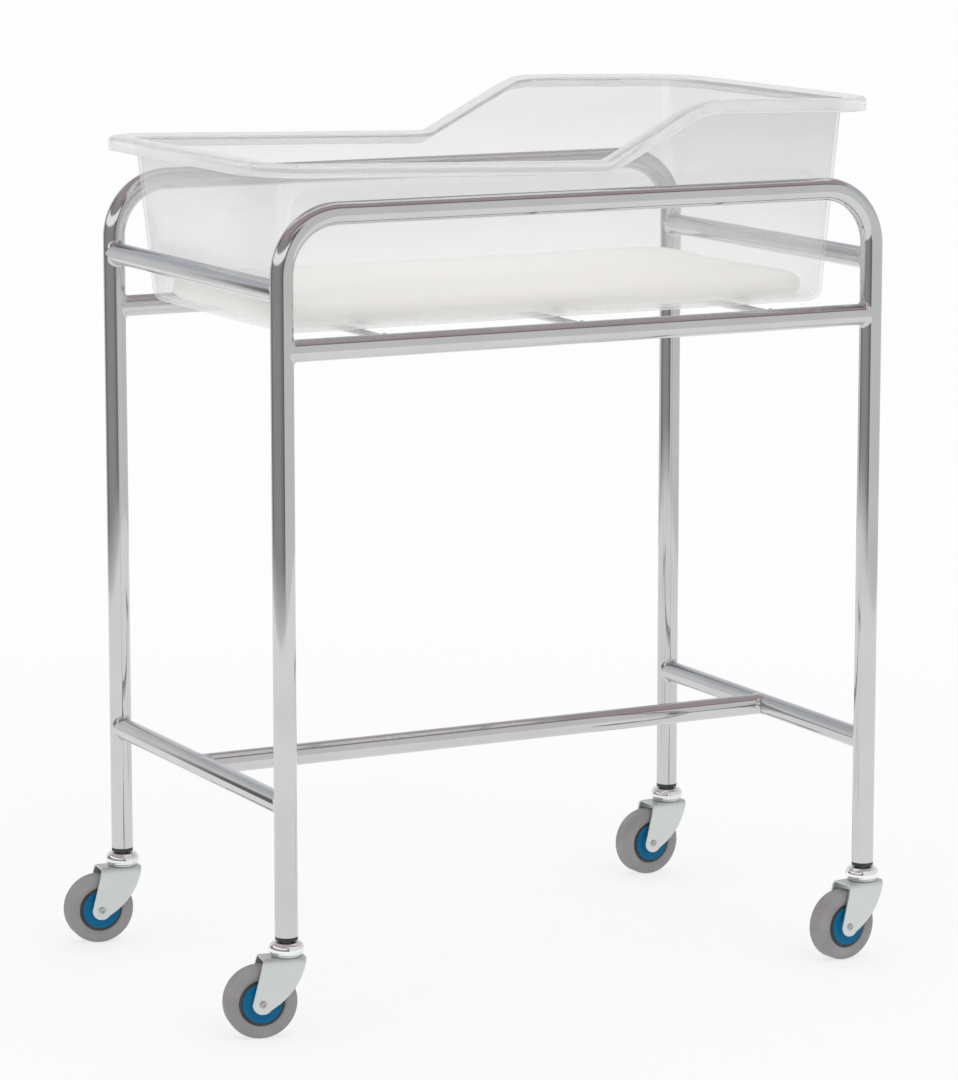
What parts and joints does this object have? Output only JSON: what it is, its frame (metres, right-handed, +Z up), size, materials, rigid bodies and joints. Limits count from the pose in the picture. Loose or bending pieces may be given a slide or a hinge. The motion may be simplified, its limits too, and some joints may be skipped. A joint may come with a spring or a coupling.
{
  "type": "hospital bassinet",
  "caption": "Hospital bassinet: a clear tub with a stepped, flanged rim and a flat mattress, carried in a chromed tube frame of hoops and rails on swivel casters.",
  "frame": {"origin": "on the floor, under the middle of the bounding box", "axes": "+Z up, +X towards the head end, where the rim is high, and +Y towards the rear side"},
  "size_m": [0.8208, 0.499, 0.9913],
  "materials": {
    "chrome": "polished",
    "zinc_steel": "satin zinc plate",
    "clear_plastic": "clear, slightly hazy",
    "cream_cover": "smooth cover",
    "black_plastic": "matt",
    "blue_plastic": "satin",
    "grey_rubber": "matt"
  },
  "bodies": {
    "frame": {"front_hoop": "chrome", "rear_hoop": "chrome", "front_lower_rail": "chrome", "rear_lower_rail": "chrome", "left_end_rail": "chrome", "right_end_rail": "chrome", "left_low_rail": "chrome", "right_low_rail": "chrome", "stretcher": "chrome", "tub_rod_1": "chrome", "tub_rod_2": "chrome", "tub_rod_3": "chrome", "front_left_sleeve": "black_plastic", "front_left_stem": "zinc_steel", "front_left_dome_cap": "chrome", "front_left_ball_race": "zinc_steel", "rear_left_sleeve": "black_plastic", "rear_left_stem": "zinc_steel", "rear_left_dome_cap": "chrome", "rear_left_ball_race": "zinc_steel", "rear_right_sleeve": "black_plastic", "rear_right_stem": "zinc_steel", "rear_right_dome_cap": "chrome", "rear_right_ball_race": "zinc_steel", "front_right_sleeve": "black_plastic", "front_right_stem": "zinc_steel", "front_right_dome_cap": "chrome", "front_right_ball_race": "zinc_steel"},
    "tub": {"tub": "clear_plastic"},
    "mattress": {"mattress": "cream_cover"},
    "front_left_swivel": {"front_left_fork": "zinc_steel", "front_left_axle": "zinc_steel", "front_left_axle_bush": "zinc_steel"},
    "front_left_wheel": {"front_left_wheel_core": "black_plastic", "front_left_tyre": "grey_rubber", "front_left_outer_disc": "blue_plastic", "front_left_inner_disc": "blue_plastic"},
    "rear_left_swivel": {"rear_left_fork": "zinc_steel", "rear_left_axle": "zinc_steel", "rear_left_axle_bush": "zinc_steel"},
    "rear_left_wheel": {"rear_left_wheel_core": "black_plastic", "rear_left_tyre": "grey_rubber", "rear_left_outer_disc": "blue_plastic", "rear_left_inner_disc": "blue_plastic"},
    "rear_right_swivel": {"rear_right_fork": "zinc_steel", "rear_right_axle": "zinc_steel", "rear_right_axle_bush": "zinc_steel"},
    "rear_right_wheel": {"rear_right_wheel_core": "black_plastic", "rear_right_tyre": "grey_rubber", "rear_right_outer_disc": "blue_plastic", "rear_right_inner_disc": "blue_plastic"},
    "front_right_swivel": {"front_right_fork": "zinc_steel", "front_right_axle": "zinc_steel", "front_right_axle_bush": "zinc_steel"},
    "front_right_wheel": {"front_right_wheel_core": "black_plastic", "front_right_tyre": "grey_rubber", "front_right_outer_disc": "blue_plastic", "front_right_inner_disc": "blue_plastic"}
  },
  "joints": [
    {"name": "tub_lift", "type": "slide", "parent": "frame", "child": "tub", "axis": [0, 0, 1], "range_m": [0, 0.25]},
    {"name": "mattress_lift", "type": "slide", "parent": "tub", "child": "mattress", "axis": [0, 0, 1], "range_m": [0, 0.3]},
    {"name": "front_left_swivel_turn", "type": "hinge", "parent": "frame", "child": "front_left_swivel", "pos_m": [-0.3401, -0.22712, 0.09], "axis": [0, 0, 1], "continuous": true},
    {"name": "front_left_wheel_roll", "type": "hinge", "parent": "front_left_swivel", "child": "front_left_wheel", "pos_m": [-0.36952, -0.22124, 0.04], "axis": [-0.1959, -0.9806, 0], "continuous": true},
    {"name": "rear_left_swivel_turn", "type": "hinge", "parent": "frame", "child": "rear_left_swivel", "pos_m": [-0.3401, 0.22788, 0.09], "axis": [0, 0, 1], "continuous": true},
    {"name": "rear_left_wheel_roll", "type": "hinge", "parent": "rear_left_swivel", "child": "rear_left_wheel", "pos_m": [-0.36992, 0.23118, 0.04], "axis": [-0.1097, -0.994, 0], "continuous": true},
    {"name": "rear_right_swivel_turn", "type": "hinge", "parent": "frame", "child": "rear_right_swivel", "pos_m": [0.3899, 0.22788, 0.09], "axis": [0, 0, 1], "continuous": true},
    {"name": "rear_right_wheel_roll", "type": "hinge", "parent": "rear_right_swivel", "child": "rear_right_wheel", "pos_m": [0.36, 0.22543, 0.04], "axis": [0.0819, -0.9966, 0], "continuous": true},
    {"name": "front_right_swivel_turn", "type": "hinge", "parent": "frame", "child": "front_right_swivel", "pos_m": [0.3899, -0.22712, 0.09], "axis": [0, 0, 1], "continuous": true},
    {"name": "front_right_wheel_roll", "type": "hinge", "parent": "front_right_swivel", "child": "front_right_wheel", "pos_m": [0.36017, -0.23114, 0.04], "axis": [0.134, -0.991, 0], "continuous": true}
  ]
}
